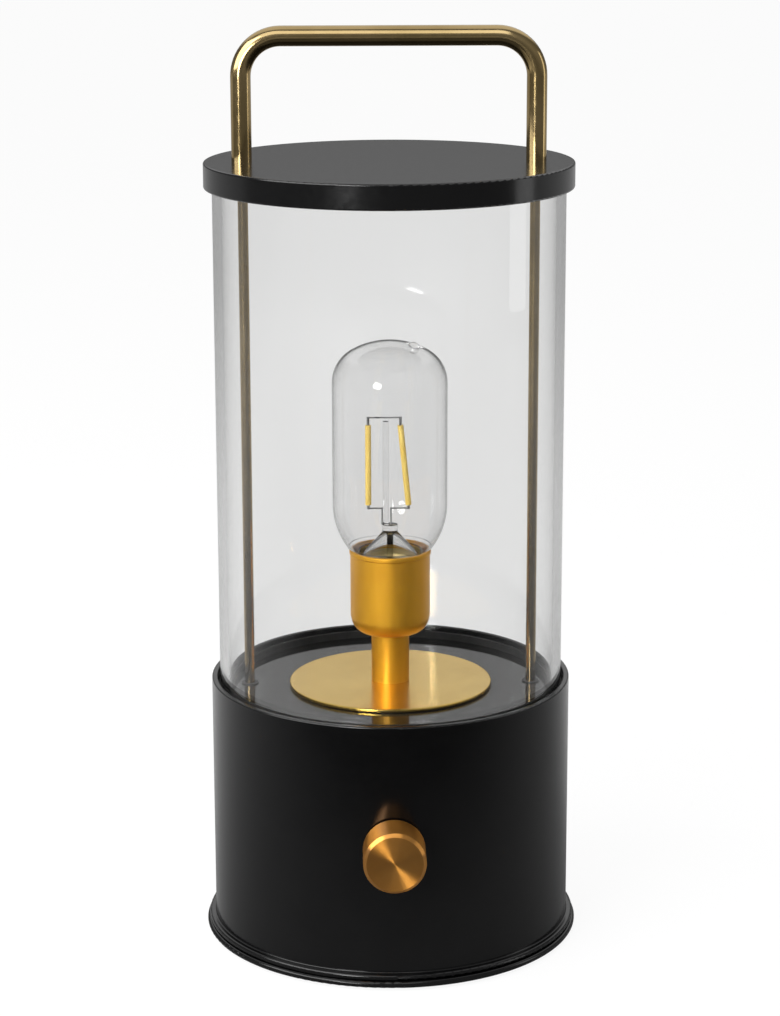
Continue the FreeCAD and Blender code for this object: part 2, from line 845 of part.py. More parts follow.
def make_stem():
    """The tube that carries the lampholder, and the threaded pipe that clamps it to the deck."""
    turned("holder_stem", [
        ("pipe_hole", "disc_top"),
        ("stem_radius", "disc_top"),
        ("stem_radius", "holder_bottom"),
        ("pipe_hole", "holder_bottom"),
    ])
    turned("threaded_pipe", [
        ("pipe_radius - pipe_wall", "deck_bottom - pipe_tail"),
        ("pipe_radius", "deck_bottom - pipe_tail"),
        ("pipe_radius", "holder_floor_top"),
        ("pipe_radius - pipe_wall", "holder_floor_top"),
    ])
    padded("pipe_washer", "pipe_washer_bottom", "pipe_washer_thickness",
           lambda sketch: draw_ring(sketch, "pipe_washer_radius", "pipe_hole", ("0", "0")))

    def draw_nut(sketch):
        draw_hexagon(sketch, "pipe_nut_flats")
        draw_circles(sketch, "pipe_radius + turn_gap", ("0", "0"))
    padded("pipe_nut", "pipe_washer_bottom", "pipe_nut_height", draw_nut, reverse=True)


def make_holder():
    """The lampholder's metal: a domed cap on the stem, a sleeve with a rolled lip, a screw shell."""
    turned("holder_cap", [
        ("pipe_radius + turn_gap", "holder_bottom"),
        ("holder_cap_radius", "holder_bottom", "holder_cap_round"),
        ("holder_cap_radius", "holder_cap_top"),
        ("holder_cap_inner", "holder_cap_top"),
        ("holder_cap_inner", "holder_floor_top", "holder_cap_hollow"),
        ("pipe_radius + turn_gap", "holder_floor_top"),
    ])
    lip = "sleeve_outer + sleeve_lip"
    turned("holder_sleeve", [
        ("sleeve_inner", "holder_cap_top"),
        ("sleeve_outer", "holder_cap_top"),
        ("sleeve_outer", "sleeve_top - sleeve_lip_height"),
        (lip, "sleeve_top - sleeve_lip_height + sleeve_lip"),
        (lip, "sleeve_top", "sleeve_lip_round"),
        ("sleeve_inner", "sleeve_top"),
    ])
    turned("screw_shell", [
        ("shell_inner", "well_top"),
        ("shell_outer", "well_top"),
        ("shell_outer", "shell_top"),
        ("shell_inner", "shell_top"),
    ])


def make_holder_insulator():
    """The insulating cup: a well for the centre contact, and a wall around the screw shell."""
    turned("holder_insulator", [
        ("0", "well_floor"),
        ("well_outer", "well_floor"),
        ("well_outer", "holder_cap_top"),
        ("insulator_outer", "holder_cap_top"),
        ("insulator_outer", "insulator_top"),
        ("insulator_inner", "insulator_top"),
        ("insulator_inner", "well_top"),
        ("well_inner", "well_top"),
        ("well_inner", "contact_seat"),
        ("0", "contact_seat"),
    ])


def make_centre_contact():
    """A springy strip on the floor of the well, bowed up in the middle to meet the bulb."""
    body = new_body("centre_contact")
    strip = new_sketch(body, "XZ_Plane")
    half = [
        ("contact_length / 2", "contact_seat"),
        ("contact_crown / 2 + contact_slope", "contact_seat"),
        ("contact_crown / 2", "contact_top - contact_thickness"),
    ]
    under = half + [(f"-({x})", height) for x, height in reversed(half)]
    over = [(x, f"{height} + contact_thickness") for x, height in reversed(under)]
    draw_outline(strip, under + over)
    add_pad(body, strip, "contact_width", middle=True)


# ---------------------------------------------------------------- bulb

def make_bulb_cap():
    """The bulb's screw cap, the black insulator in its end and the tip contact below that."""
    turned("bulb_tip", [
        ("0", "bulb_bottom"),
        ("bulb_tip_radius", "bulb_bottom", "bulb_tip_round"),
        ("bulb_tip_radius", "bulb_bottom + bulb_tip_height"),
        ("0", "bulb_bottom + bulb_tip_height"),
    ])
    rim = "bulb_cap_radius - bulb_insulator_inset"
    turned("bulb_insulator", [
        ("0", "bulb_base"),
        ("bulb_tip_radius + bulb_tip_round", "bulb_base"),
        (rim, "bulb_cone_top"),
        (rim, "bulb_cone_top + bulb_insulator_rim"),
        ("0", "bulb_cone_top + bulb_insulator_rim"),
    ])
    inner = "bulb_cap_radius - bulb_cap_wall"
    turned("bulb_cap", [
        (f"{rim} + slip_gap", "bulb_cone_top"),
        ("bulb_cap_radius", "bulb_cone_top + bulb_cap_cone"),
        ("bulb_cap_radius", "bulb_cap_rim"),
        (inner, "bulb_cap_rim"),
        (inner, "bulb_cone_top + bulb_cap_cone + slip_gap"),
        (f"{rim} + slip_gap", "bulb_cone_top + bulb_cap_wall + slip_gap"),
    ])


def draw_globe(sketch, inset):
    """Half of the globe's section, drawn in by the inset: neck, shoulder, side and two-arc dome."""
    neck = f"globe_neck - {inset}"
    throat = f"globe_throat - {inset}"
    side = f"globe_radius - {inset}"
    shoulder = f"globe_shoulder - {inset}"
    dome = f"globe_dome_round - {inset}"
    crown = f"globe_crown - {inset}"
    top = f"bulb_top - {inset}"

    shoulder_centre = point(f"{side} - ({shoulder})", "bulb_shoulder")
    drop = sqrt(value(shoulder) ** 2 - (value(throat) - shoulder_centre.x) ** 2)
    crown_centre = point("0", f"{top} - ({crown})")
    dome_x = value(side) - value(dome)
    dome_y = crown_centre.y + sqrt((value(crown) - value(dome)) ** 2 - dome_x ** 2)
    dome_centre = Vector(dome_x, dome_y, 0)
    meeting = crown_centre + (dome_centre - crown_centre).normalize() * value(crown)
    at = [
        point("0", "globe_neck_bottom"),
        point(neck, "globe_neck_bottom"),
        point(neck, "bulb_cap_rim + globe_neck_rise"),
        Vector(value(throat), shoulder_centre.y - drop, 0),
        point(side, "bulb_shoulder"),
        Vector(value(side), dome_y, 0),
        meeting,
        point("0", top),
    ]

    floor, wall, flare = (sketch.addGeometry(Part.LineSegment(at[i], at[i + 1])) for i in range(3))
    low_arc, low_near, low_far = add_arc(sketch, shoulder_centre, value(shoulder), at[3], at[4])
    straight = sketch.addGeometry(Part.LineSegment(at[4], at[5]))
    dome_arc, dome_near, dome_far = add_arc(sketch, dome_centre, value(dome), at[5], at[6])
    crown_arc, crown_near, crown_far = add_arc(sketch, crown_centre, value(crown), at[6], at[7])
    axis = sketch.addGeometry(Part.LineSegment(at[7], at[0]))

    join(sketch, "Coincident", floor, 2, wall, 1)
    join(sketch, "Coincident", wall, 2, flare, 1)
    join(sketch, "Coincident", flare, 2, low_arc, low_near)
    join(sketch, "Coincident", low_arc, low_far, straight, 1)
    join(sketch, "Vertical", straight)
    join(sketch, "Tangent", straight, 2, dome_arc, dome_near)
    join(sketch, "Tangent", dome_arc, dome_far, crown_arc, crown_near)
    join(sketch, "PointOnObject", crown_arc, 3, -2)
    join(sketch, "Coincident", crown_arc, crown_far, axis, 1)
    join(sketch, "Coincident", axis, 2, floor, 1)

    hold_point(sketch, floor, 1, "0", "globe_neck_bottom")
    hold_point(sketch, wall, 1, neck, "globe_neck_bottom")
    hold_point(sketch, flare, 1, neck, "bulb_cap_rim + globe_neck_rise")
    hold(sketch, "DistanceX", -1, 1, flare, 2, size=throat)
    hold_point(sketch, straight, 1, side, "bulb_shoulder")
    hold(sketch, "DistanceY", -1, 1, low_arc, 3, size="bulb_shoulder")
    hold(sketch, "Radius", low_arc, size=shoulder)
    hold(sketch, "Radius", dome_arc, size=dome)
    hold(sketch, "Radius", crown_arc, size=crown)
    hold_point(sketch, axis, 1, "0", top)


def make_globe():
    """The clear tubular globe: one thin shell, open at its neck, with a sealed-off nub on its crown."""
    body = new_body("bulb_globe")
    for kind, inset in (("Revolution", "0"), ("Groove", "globe_wall")):
        sketch = new_sketch(body, "XZ_Plane")
        draw_globe(sketch, inset)
        turn_sketch(body, sketch, kind)
    nub = body.newObject("PartDesign::AdditiveSphere", "globe_nub")
    nub.setExpression("Radius", expression("globe_nub_radius"))
    for axis, place in (("x", "globe_nub_across"), ("y", "-globe_nub_forward"),
                        ("z", "globe_nub_level")):
        nub.setExpression(f"Placement.Base.{axis}", expression(place))


def make_bulb_stem():
    """The glass flare that closes the neck, with its exhaust tube, press and long support rod."""
    flare_foot = "bulb_cap_rim - flare_drop"
    body = turned("bulb_stem", [
        ("0", "bulb_cap_rim - exhaust_drop"),
        ("exhaust_radius", "bulb_cap_rim - exhaust_drop"),
        ("exhaust_radius", "press_bottom - flare_thickness"),
        ("flare_radius - flare_thickness", flare_foot),
        ("flare_radius", flare_foot),
        ("press_radius", "press_bottom"),
        ("press_radius", "press_top"),
        ("0", "press_top"),
    ])
    rod = new_sketch(body, "XY_Plane", "press_top")
    draw_circles(rod, "stem_rod_radius", ("-stem_rod_offset", "0"))
    add_pad(body, rod, "filament_top + bulb_wire_top / 2 - press_top")


def make_filaments():
    """Two straight filament rods, and the wires that hold them to the press and to each other."""
    routed("filament_left", [[
        ("-filament_left", "0", "filament_bottom"),
        ("-filament_left", "0", "filament_top"),
    ]], "filament_radius", "0")
    routed("filament_right", [[
        ("filament_right_base", "0", "filament_bottom"),
        ("filament_right_top", "0", "filament_top"),
    ]], "filament_radius", "0")
    over = "filament_top + bulb_wire_top"
    under = "filament_bottom - bulb_wire_drop"
    left_foot = "-stem_rod_offset - stem_rod_radius - bulb_wire_radius - slip_gap"
    right_foot = "bulb_wire_radius + slip_gap"
    routed("bulb_wires", [
        [("-filament_left", "0", "filament_top"), ("-filament_left", "0", over),
         ("filament_right_top", "0", over), ("filament_right_top", "0", "filament_top")],
        [("-filament_left", "0", "filament_bottom"), ("-filament_left", "0", under),
         (left_foot, "0", under), (left_foot, "0", "press_top")],
        [("filament_right_base", "0", "filament_bottom"), ("filament_right_base", "0", under),
         (right_foot, "0", under), (right_foot, "0", "press_top")],
    ], "bulb_wire_radius", "bulb_wire_bend")


# ---------------------------------------------------------------- knob and dimmer

def face_forward(body):
    """Lay a body's own Z axis along the knob's axis, pointing out of the drum's front."""
    body.Placement = Placement(Vector(), Rotation(Vector(1, 0, 0), 90))
    body.setExpression("Placement.Base.z", expression("knob_height"))


def make_knob():
    """The turned brass knob, hollow behind to clear the dimmer's nut, and its grub screw."""
    knob = turned("dimmer_knob", [
        ("knob_bore", "knob_floor"),
        ("knob_recess_radius", "knob_floor"),
        ("knob_recess_radius", "knob_back"),
        ("knob_radius", "knob_back", "knob_back_round"),
        ("knob_radius", "knob_front - knob_chamfer"),
        ("knob_radius - knob_chamfer", "knob_front"),
        ("0", "knob_front"),
        ("0", "knob_bore_end"),
        ("knob_bore", "knob_bore_end"),
    ])
    hole = new_sketch(knob, "XZ_Plane")
    draw_circles(hole, "knob_screw_radius + turn_gap", ("0", "knob_screw_level"))
    add_pocket(knob, hole, reverse=True)
    face_forward(knob)

    screw = new_body("knob_screw")
    section = new_sketch(screw, "XZ_Plane", "shaft_flat + turn_gap")
    draw_circles(section, "knob_screw_radius", ("0", "knob_screw_level"))
    add_pad(screw, section, "knob_radius - shaft_flat - knob_screw_sunk")
    face_forward(screw)


def make_dimmer_shaft():
    """The shaft from the dimmer to the knob, with a flat for the grub screw."""
    shaft = turned("dimmer_shaft", [
        ("0", "dimmer_front - shaft_root"),
        ("shaft_radius", "dimmer_front - shaft_root"),
        ("shaft_radius", "shaft_end"),
        ("0", "shaft_end"),
    ])
    flat = new_sketch(shaft, "XY_Plane", "shaft_end")
    draw_rectangle(flat, "-2 * shaft_radius", "2 * shaft_radius", "-2 * shaft_radius", "-shaft_flat")
    add_pocket(shaft, flat, "shaft_end - knob_floor")
    face_forward(shaft)


def make_dimmer():
    """The rotary dimmer behind the drum's wall, with its washer and nut on the outside."""
    bore = "shaft_radius + turn_gap"
    bore_end = "dimmer_front - shaft_root - fit_gap"
    body = turned("dimmer_body", [
        ("0", "dimmer_back"),
        ("dimmer_radius", "dimmer_back", "dimmer_edge_round"),
        ("dimmer_radius", "dimmer_front"),
        ("bushing_radius", "dimmer_front"),
        ("bushing_radius", "bushing_end"),
        (bore, "bushing_end"),
        (bore, bore_end),
        ("0", bore_end),
    ])
    face_forward(body)

    def draw_washer(sketch):
        draw_ring(sketch, "dimmer_washer_radius", "bushing_radius + slip_gap", ("0", "0"))
    face_forward(padded("dimmer_washer", "washer_back", "dimmer_washer_thickness", draw_washer))

    def draw_nut(sketch):
        draw_hexagon(sketch, "dimmer_nut_flats")
        draw_circles(sketch, "bushing_radius + turn_gap", ("0", "0"))
    face_forward(padded("dimmer_nut", "nut_back", "dimmer_nut_height", draw_nut))


def add_cylinder(label, radius, height):
    cylinder = doc.addObject("Part::Cylinder", label)
    cylinder.setExpression("Radius", expression(radius))
    cylinder.setExpression("Height", expression(height))
    return cylinder


def make_saddle():
    """The saddle between the flat dimmer and the round wall: flat behind, curved in front."""
    block = add_cylinder("saddle_block", "dimmer_radius", "2 * saddle_thickness")
    bore = add_cylinder("saddle_bore", "bushing_radius + slip_gap", "2 * saddle_thickness")
    for piece in (block, bore):
        face_forward(piece)
        piece.setExpression("Placement.Base.y", "-1 * " + expression("dimmer_front"))
    wall = add_cylinder("saddle_wall", "drum_inner - saddle_gap", "drum_top")
    curved = doc.addObject("Part::Common", "saddle_curved")
    curved.Base = block
    curved.Tool = wall
    saddle = doc.addObject("Part::Cut", "dimmer_saddle")
    saddle.Label = "dimmer_saddle"
    saddle.Base = curved
    saddle.Tool = bore
    parts.append(saddle)


# ---------------------------------------------------------------- driver board

def board_holes():
    across = "board_length / 2 - board_hole_inset"
    near = "board_offset + board_hole_inset"
    far = "board_far - board_hole_inset"
    return [(f"{side}({across})", y) for side in ("-", "") for y in (near, far)]


def make_board():
    """The driver board, hung under the deck on four standoffs behind the lampholder's pipe."""
    def draw_board(sketch):
        draw_rectangle(sketch, "-board_length / 2", "board_length / 2", "board_offset", "board_far",
                       "board_corner_round")
        draw_circles(sketch, "board_screw_radius + slip_gap", *board_holes())
    padded("driver_board", "board_top", "board_thickness", draw_board, reverse=True)

    def draw_standoffs(sketch):
        draw_ring(sketch, "standoff_radius", "board_screw_radius + turn_gap", *board_holes())
    padded("board_standoffs", "board_top", "standoff_length", draw_standoffs)

    def draw_heads(sketch):
        draw_circles(sketch, "standoff_radius", *board_holes())
    screws = padded("board_screws", "board_bottom", "board_screw_head", draw_heads, reverse=True)
    shanks = new_sketch(screws, "XY_Plane", "board_bottom")
    draw_circles(shanks, "board_screw_radius", *board_holes())
    add_pad(screws, shanks, "board_thickness + board_screw_reach")


def make_board_parts():
    """What stands on the board's underside: a ring coil, capacitors, the controller, terminals."""
    middle = "board_offset + board_parts_line"
    padded("board_inductor", "board_bottom", "inductor_height",
           lambda sketch: draw_ring(sketch, "inductor_radius", "inductor_bore",
                                    ("-inductor_place", middle)), reverse=True)
    padded("board_capacitors", "board_bottom", "capacitor_height",
           lambda sketch: draw_circles(sketch, "capacitor_radius", ("0", middle),
                                       ("capacitor_pitch", middle)), reverse=True)
    padded("board_controller", "board_bottom", "controller_height",
           lambda sketch: draw_rectangle(sketch, "inductor_place", "inductor_place + controller_length",
                                         middle, f"{middle} + controller_width"), reverse=True)
    padded("board_terminals", "board_bottom", "terminals_height",
           lambda sketch: draw_rectangle(sketch, "-terminals_length / 2", "terminals_length / 2",
                                         "terminals_near", "terminals_near + terminals_width"),
           reverse=True)


# ---------------------------------------------------------------- battery and socket

def make_battery():
    """Two round cells lying in a cradle on the foot, held by a strap."""
    cells = [("-cell_pitch / 2", "cell_level"), ("cell_pitch / 2", "cell_level")]

    def draw_tray(sketch):
        draw_rectangle(sketch, "-tray_half_length", "tray_half_length", "-tray_half_width",
                       "tray_half_width", "tray_corner_round")
    tray = padded("battery_tray", "foot_core_top", "tray_height", draw_tray)
    cradle = new_sketch(tray, "YZ_Plane")
    draw_circles(cradle, "cell_radius + fit_gap", *cells)
    add_pocket(tray, cradle, "cell_length + 2 * fit_gap", middle=True)

    body = new_body("battery_cells")
    section = new_sketch(body, "YZ_Plane")
    draw_circles(section, "cell_radius", *cells)
    add_pad(body, section, "cell_length", middle=True)

    strap = new_body("battery_strap")
    band = new_sketch(strap, "YZ_Plane")
    over = "strap_top + strap_thickness"
    draw_outline(band, [
        ("-strap_outer", "foot_core_top"),
        ("-strap_inner", "foot_core_top"),
        ("-strap_inner", "strap_top", "strap_bend"),
        ("strap_inner", "strap_top", "strap_bend"),
        ("strap_inner", "foot_core_top"),
        ("strap_outer", "foot_core_top"),
        ("strap_outer", over, "strap_bend + strap_thickness"),
        ("-strap_outer", over, "strap_bend + strap_thickness"),
    ])
    add_pad(strap, band, "strap_width", middle=True)


def make_socket_mount():
    """The block that lifts the small charging board to the slot in the drum's back."""
    def draw_block(sketch):
        draw_rectangle(sketch, "-socket_block_width / 2", "socket_block_width / 2",
                       "socket_block_face - socket_block_depth", "socket_block_face")
    padded("socket_block", "foot_core_top", "socket_board_bottom - foot_core_top", draw_block)

    def draw_board(sketch):
        draw_rectangle(sketch, "-socket_board_width / 2", "socket_board_width / 2",
                       "socket_board_back", "socket_block_face")
    padded("socket_board", "socket_board_bottom", "socket_board_thickness", draw_board)


def make_socket():
    """The charging socket: a rounded metal shell, closed behind, and the tongue inside it."""
    shell = new_body("charging_socket")
    mouth = new_sketch(shell, "XZ_Plane", "-socket_face")
    draw_slot(mouth, "0")
    draw_slot(mouth, "-socket_wall")
    add_pad(shell, mouth, "socket_depth")
    back = new_sketch(shell, "XZ_Plane", "socket_depth - socket_face")
    draw_slot(back, "0")
    add_pad(shell, back, "socket_back")

    tongue = new_body("socket_tongue")
    blade = new_sketch(tongue, "XZ_Plane", "tongue_setback - socket_face")
    draw_rectangle(blade, "-tongue_width / 2", "tongue_width / 2",
                   "socket_axis - tongue_thickness / 2", "socket_axis + tongue_thickness / 2")
    add_pad(tongue, blade, "socket_depth - tongue_setback")


# ---------------------------------------------------------------- wires

def make_lamp_leads():
    """Two wires from the lampholder, down its pipe and over to the terminals."""
    routed("lamp_leads", [[
        (f"{side} * lead_pitch / 2", "0", "holder_floor_top + lamp_lead_rise"),
        (f"{side} * lead_pitch / 2", "0", "lead_level"),
        (f"{side} * lead_pitch / 2", "terminals_near", "lead_level"),
    ] for side in (-1, 1)], "lead_radius", "lead_bend")


def make_dimmer_leads():
    """Two wires from the back of the dimmer to the terminals."""
    level = "knob_height + dimmer_lead_level"
    routed("dimmer_leads", [[
        (f"{side} * 2 * lead_pitch", "-dimmer_back", level),
        (f"{side} * 2 * lead_pitch", "-dimmer_lead_turn", level),
        (f"{side} * 2 * lead_pitch", "-dimmer_lead_turn", "lead_level"),
        (f"{side} * 2 * lead_pitch", "terminals_near", "lead_level"),
    ] for side in (-1, 1)], "lead_radius", "lead_bend")


def make_battery_leads():
    """One wire from each end of the battery, up beside it and in to the terminals."""
    level = "foot_core_top + battery_lead_level"
    routed("battery_leads", [[
        (f"{side} * tray_half_length", "0", level),
        (f"{side} * battery_lead_end", "0", level),
        (f"{side} * battery_lead_end", "0", "lead_level"),
        (f"{side} * battery_lead_place", "0", "lead_level"),
        (f"{side} * battery_lead_place", "terminals_near", "lead_level"),
    ] for side in (-1, 1)], "lead_radius", "lead_bend")


def make_charge_leads():
    """Two wires from the charging board, forward and up to the underside of the terminals."""
    low = "socket_board_bottom + socket_board_thickness / 2"
    high = "lead_level - charge_lead_level"
    rise = "socket_board_back - charge_lead_reach"
    plug_in = "terminals_near + terminals_width / 2"
    routed("charge_leads", [[
        (x, "socket_board_back", low),
        (x, rise, low),
        (x, rise, high),
        (x, plug_in, high),
        (x, plug_in, "board_bottom - terminals_height"),
    ] for x in ("-2 * lead_pitch", "2 * lead_pitch")], "lead_radius", "lead_bend")


make_rest_pad()
make_foot()
make_foot_screws()
make_pillars()
make_drum()
make_deck()
make_glass()
make_lid()
make_handle()
make_tie_rods()
make_rod_bushes()
make_rod_nuts()
make_disc()
make_stem()
make_holder()
make_holder_insulator()
make_centre_contact()
make_bulb_cap()
make_globe()
make_bulb_stem()
make_filaments()
make_knob()
make_dimmer_shaft()
make_dimmer()
make_saddle()
make_board()
make_board_parts()
make_battery()
make_socket_mount()
make_socket()
make_lamp_leads()
make_dimmer_leads()
make_battery_leads()
make_charge_leads()
doc.recompute()

for thing in doc.Objects:
    if "Invalid" in thing.State or "Error" in thing.State:
        raise RuntimeError(f"{thing.Label} is in state {thing.State}")
for part in parts:
    if part.Shape.isNull() or not part.Shape.isValid():
        raise RuntimeError(f"{part.Label} has no valid shape")
os.makedirs("parts", exist_ok=True)
for part in parts:
    part.Shape.exportStep(f"parts/{part.Label}.step")
    print(part.Label, len(part.Shape.Solids), round(part.Shape.Volume, 1))
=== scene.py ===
import json
from math import atan2, ceil, cos, pi, radians, sin, tan

import bmesh
import bpy
from mathutils import Matrix, Vector


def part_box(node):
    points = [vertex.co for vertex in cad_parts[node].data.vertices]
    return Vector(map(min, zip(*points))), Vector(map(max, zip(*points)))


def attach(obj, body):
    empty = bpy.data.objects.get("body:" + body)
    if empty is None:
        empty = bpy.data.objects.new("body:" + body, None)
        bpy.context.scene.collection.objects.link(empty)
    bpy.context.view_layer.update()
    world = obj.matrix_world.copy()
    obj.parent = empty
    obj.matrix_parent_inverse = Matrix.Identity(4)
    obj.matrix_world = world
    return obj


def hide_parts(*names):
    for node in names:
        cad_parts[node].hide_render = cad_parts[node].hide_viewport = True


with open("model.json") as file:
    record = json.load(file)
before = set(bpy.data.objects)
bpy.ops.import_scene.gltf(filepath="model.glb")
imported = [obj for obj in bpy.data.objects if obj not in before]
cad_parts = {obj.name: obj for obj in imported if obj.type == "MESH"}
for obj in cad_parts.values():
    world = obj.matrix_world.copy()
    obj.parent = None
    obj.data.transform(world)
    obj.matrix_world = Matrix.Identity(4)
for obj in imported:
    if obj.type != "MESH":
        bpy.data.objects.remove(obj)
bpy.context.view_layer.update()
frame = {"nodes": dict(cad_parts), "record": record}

# The lantern lamp's looks.  Sizes of the pieces are in millimetres and come from
# the frame's own boxes where they can; the camera, the lamps and the room are in
# metres.  The lamp stands on the floor at Z = 0 and its knob faces -Y.

MM = 0.001
scene = bpy.context.scene
record = frame["record"]
slot_of = {part["node"]: part["material_slot"] for part in record["subparts"]}
body_of = {node: body for body, nodes in record["behaviour"]["bodies"].items() for node in nodes}


# ---------------------------------------------------------------- sizes from the frame

def reach(node):
    """A node's furthest X in millimetres, which is its radius where it is turned about the axis."""
    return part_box(node)[1].x / MM


def foot(node):
    """The height of a node's underside, in millimetres."""
    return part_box(node)[0].z / MM


def head(node):
    """The height of a node's top, in millimetres."""
    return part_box(node)[1].z / MM


# ---------------------------------------------------------------- making meshes

ARC_STEP = radians(9)
SHARP_EDGE = radians(35)
GUARD = 0.12
LONG_RUN = 6 * GUARD
ON_THE_AXIS = GUARD / 100
FINE_TURNS = 256
THREAD_TURNS = 128
BAR_SIDES = 32


def rounded(corners):
    """A closed outline from corners (across, up, radius), with an arc in place of each corner."""
    points = []
    for index, (across, up, radius) in enumerate(corners):
        here = Vector((across, up))
        into = (Vector(corners[index - 1][:2]) - here).normalized()
        out = (Vector(corners[(index + 1) % len(corners)][:2]) - here).normalized()
        half = into.angle(out) / 2
        centre = here + (into + out).normalized() * radius / sin(half)
        first = here + into * radius / tan(half) - centre
        last = here + out * radius / tan(half) - centre
        points += arc(centre, radius, atan2(first.y, first.x), atan2(last.y, last.x))
    return guarded(points)


def arc(centre, radius, start, end):
    """Points on the shorter way round from one angle to another."""
    sweep = (end - start + pi) % (2 * pi) - pi
    steps = max(2, ceil(abs(sweep) / ARC_STEP))
    angles = [start + sweep * k / steps for k in range(steps + 1)]
    return [Vector(centre) + radius * Vector((cos(angle), sin(angle))) for angle in angles]


def guarded(points):
    """Add a point close to each end of every long straight run, so that its shading stays flat."""
    made = []
    for here, after in zip(points, points[1:] + points[:1]):
        made.append(here)
        run = after - here
        if run.length > LONG_RUN:
            step = run.normalized() * GUARD
            made += [here + step, here + run - step]
    return made


def new_mesh(name, points, faces):
    """A mesh from points in millimetres, with its faces turned outwards and its edges kept crisp."""
    mesh = bpy.data.meshes.new(name)
    mesh.from_pydata([Vector(point) * MM for point in points], [], faces)
    work = bmesh.new()
    work.from_mesh(mesh)
    bmesh.ops.recalc_face_normals(work, faces=work.faces)
    work.to_mesh(mesh)
    work.free()
    mesh.shade_smooth()
    mesh.set_sharp_from_angle(angle=SHARP_EDGE)
    return mesh


def lathe(name, profile, turns=FINE_TURNS, lift=None):
    """Turn a closed profile of (radius, height) about the Z axis; lift may press it in as it turns."""
    points = []
    rings = []
    for across, up in profile:
        start = len(points)
        if across < ON_THE_AXIS:
            points.append((0, 0, up))
            rings.append([start] * turns)
            continue
        rings.append(list(range(start, start + turns)))
        for k in range(turns):
            angle = 2 * pi * k / turns
            radius, height = lift(across, angle, up) if lift else (across, up)
            points.append((radius * cos(angle), radius * sin(angle), height))
    faces = []
    for here, after in zip(rings, rings[1:] + rings[:1]):
        for k in range(turns):
            corners = (here[k - 1], here[k], after[k], after[k - 1])
            kept = list(dict.fromkeys(corners))
            if len(kept) > 2:
                faces.append(kept)
    return new_mesh(name, points, faces)


def bars(name, runs):
    """Straight round bars in one mesh, each (start, end, radius) with points in millimetres."""
    points = []
    faces = []
    for first, last, radius in runs:
        along = (Vector(last) - Vector(first)).normalized()
        side = along.orthogonal().normalized()
        up = along.cross(side)
        start = len(points)
        for middle in (Vector(first), Vector(last)):
            for k in range(BAR_SIDES):
                angle = 2 * pi * k / BAR_SIDES
                points.append(middle + radius * (cos(angle) * side + sin(angle) * up))
        for k in range(BAR_SIDES):
            back = start + (k - 1) % BAR_SIDES
            faces.append((back, start + k, start + k + BAR_SIDES, back + BAR_SIDES))
        faces.append(tuple(range(start, start + BAR_SIDES)))
        faces.append(tuple(range(start + BAR_SIDES, start + 2 * BAR_SIDES)))
    return new_mesh(name, points, faces)


# ---------------------------------------------------------------- materials

COAT_ROUGHNESS = 0.3
NOISE_DETAIL = 3.0
COLOUR_ENDS = (0.35, 0.65)
VALUE_ENDS = (0.3, 0.7)
FINER = 7
GRAIN_DEPTH = 0.02
RING_DEPTH = 0.01
RING_WANDER = 0.6
QUARTER_TURN = 0.25
GLASS_IOR = 1.47
GLASS_SHADOW = (0.96, 0.965, 0.96, 1)
GLASS_DEPTH_TINT = (0.02, 0.03, 0.0, 1)


def start(name):
    """A new material with its shader, and the object's own coordinates to lay a texture by."""
    material = bpy.data.materials.new(name)
    material.use_nodes = True
    tree = material.node_tree
    place = tree.nodes.new("ShaderNodeTexCoord").outputs["Object"]
    return material, tree, tree.nodes["Principled BSDF"], place


def noise(tree, place, scale):
    """Soft noise laid by the given coordinates."""
    texture = tree.nodes.new("ShaderNodeTexNoise")
    texture.inputs["Scale"].default_value = scale
    texture.inputs["Detail"].default_value = NOISE_DETAIL
    tree.links.new(place, texture.inputs["Vector"])
    return texture.outputs["Fac"]


def blend_colours(tree, factor, dark, light, low=COLOUR_ENDS[0], high=COLOUR_ENDS[1]):
    """A colour that goes from dark to light as the factor goes from low to high."""
    ramp = tree.nodes.new("ShaderNodeValToRGB")
    ends = ramp.color_ramp.elements
    ends[0].position = low
    ends[0].color = (*dark, 1)
    ends[1].position = high
    ends[1].color = (*light, 1)
    tree.links.new(factor, ramp.inputs["Fac"])
    return ramp.outputs["Color"]


def blend_values(tree, factor, low, high):
    """A value that goes from low to high with noise."""
    spread = tree.nodes.new("ShaderNodeMapRange")
    spread.inputs["From Min"].default_value, spread.inputs["From Max"].default_value = VALUE_ENDS
    spread.inputs["To Min"].default_value = low
    spread.inputs["To Max"].default_value = high
    tree.links.new(factor, spread.inputs["Value"])
    return spread.outputs["Result"]


def add_bump(tree, shader, height, strength, depth):
    """Raise the surface with a height, by a depth in millimetres at full strength."""
    bump = tree.nodes.new("ShaderNodeBump")
    bump.inputs["Strength"].default_value = strength
    bump.inputs["Distance"].default_value = depth * MM
    tree.links.new(height, bump.inputs["Height"])
    tree.links.new(bump.outputs["Normal"], shader.inputs["Normal"])


def surface(name, dark, light, rough, patch=60.0, grain=2500.0, bump=0.0, metallic=0.0, specular=0.5,
            coat=0.0):
    """A finish whose colour and roughness drift a little, with an even fine grain on top."""
    material, tree, shader, place = start(name)
    drift = noise(tree, place, patch)
    tree.links.new(blend_colours(tree, drift, dark, light), shader.inputs["Base Color"])
    fine = noise(tree, place, patch * FINER)
    tree.links.new(blend_values(tree, fine, *rough), shader.inputs["Roughness"])
    shader.inputs["Metallic"].default_value = metallic
    shader.inputs["Specular IOR Level"].default_value = specular
    shader.inputs["Coat Weight"].default_value = coat
    shader.inputs["Coat Roughness"].default_value = COAT_ROUGHNESS
    if bump:
        add_bump(tree, shader, noise(tree, place, grain), bump, GRAIN_DEPTH)
    return material


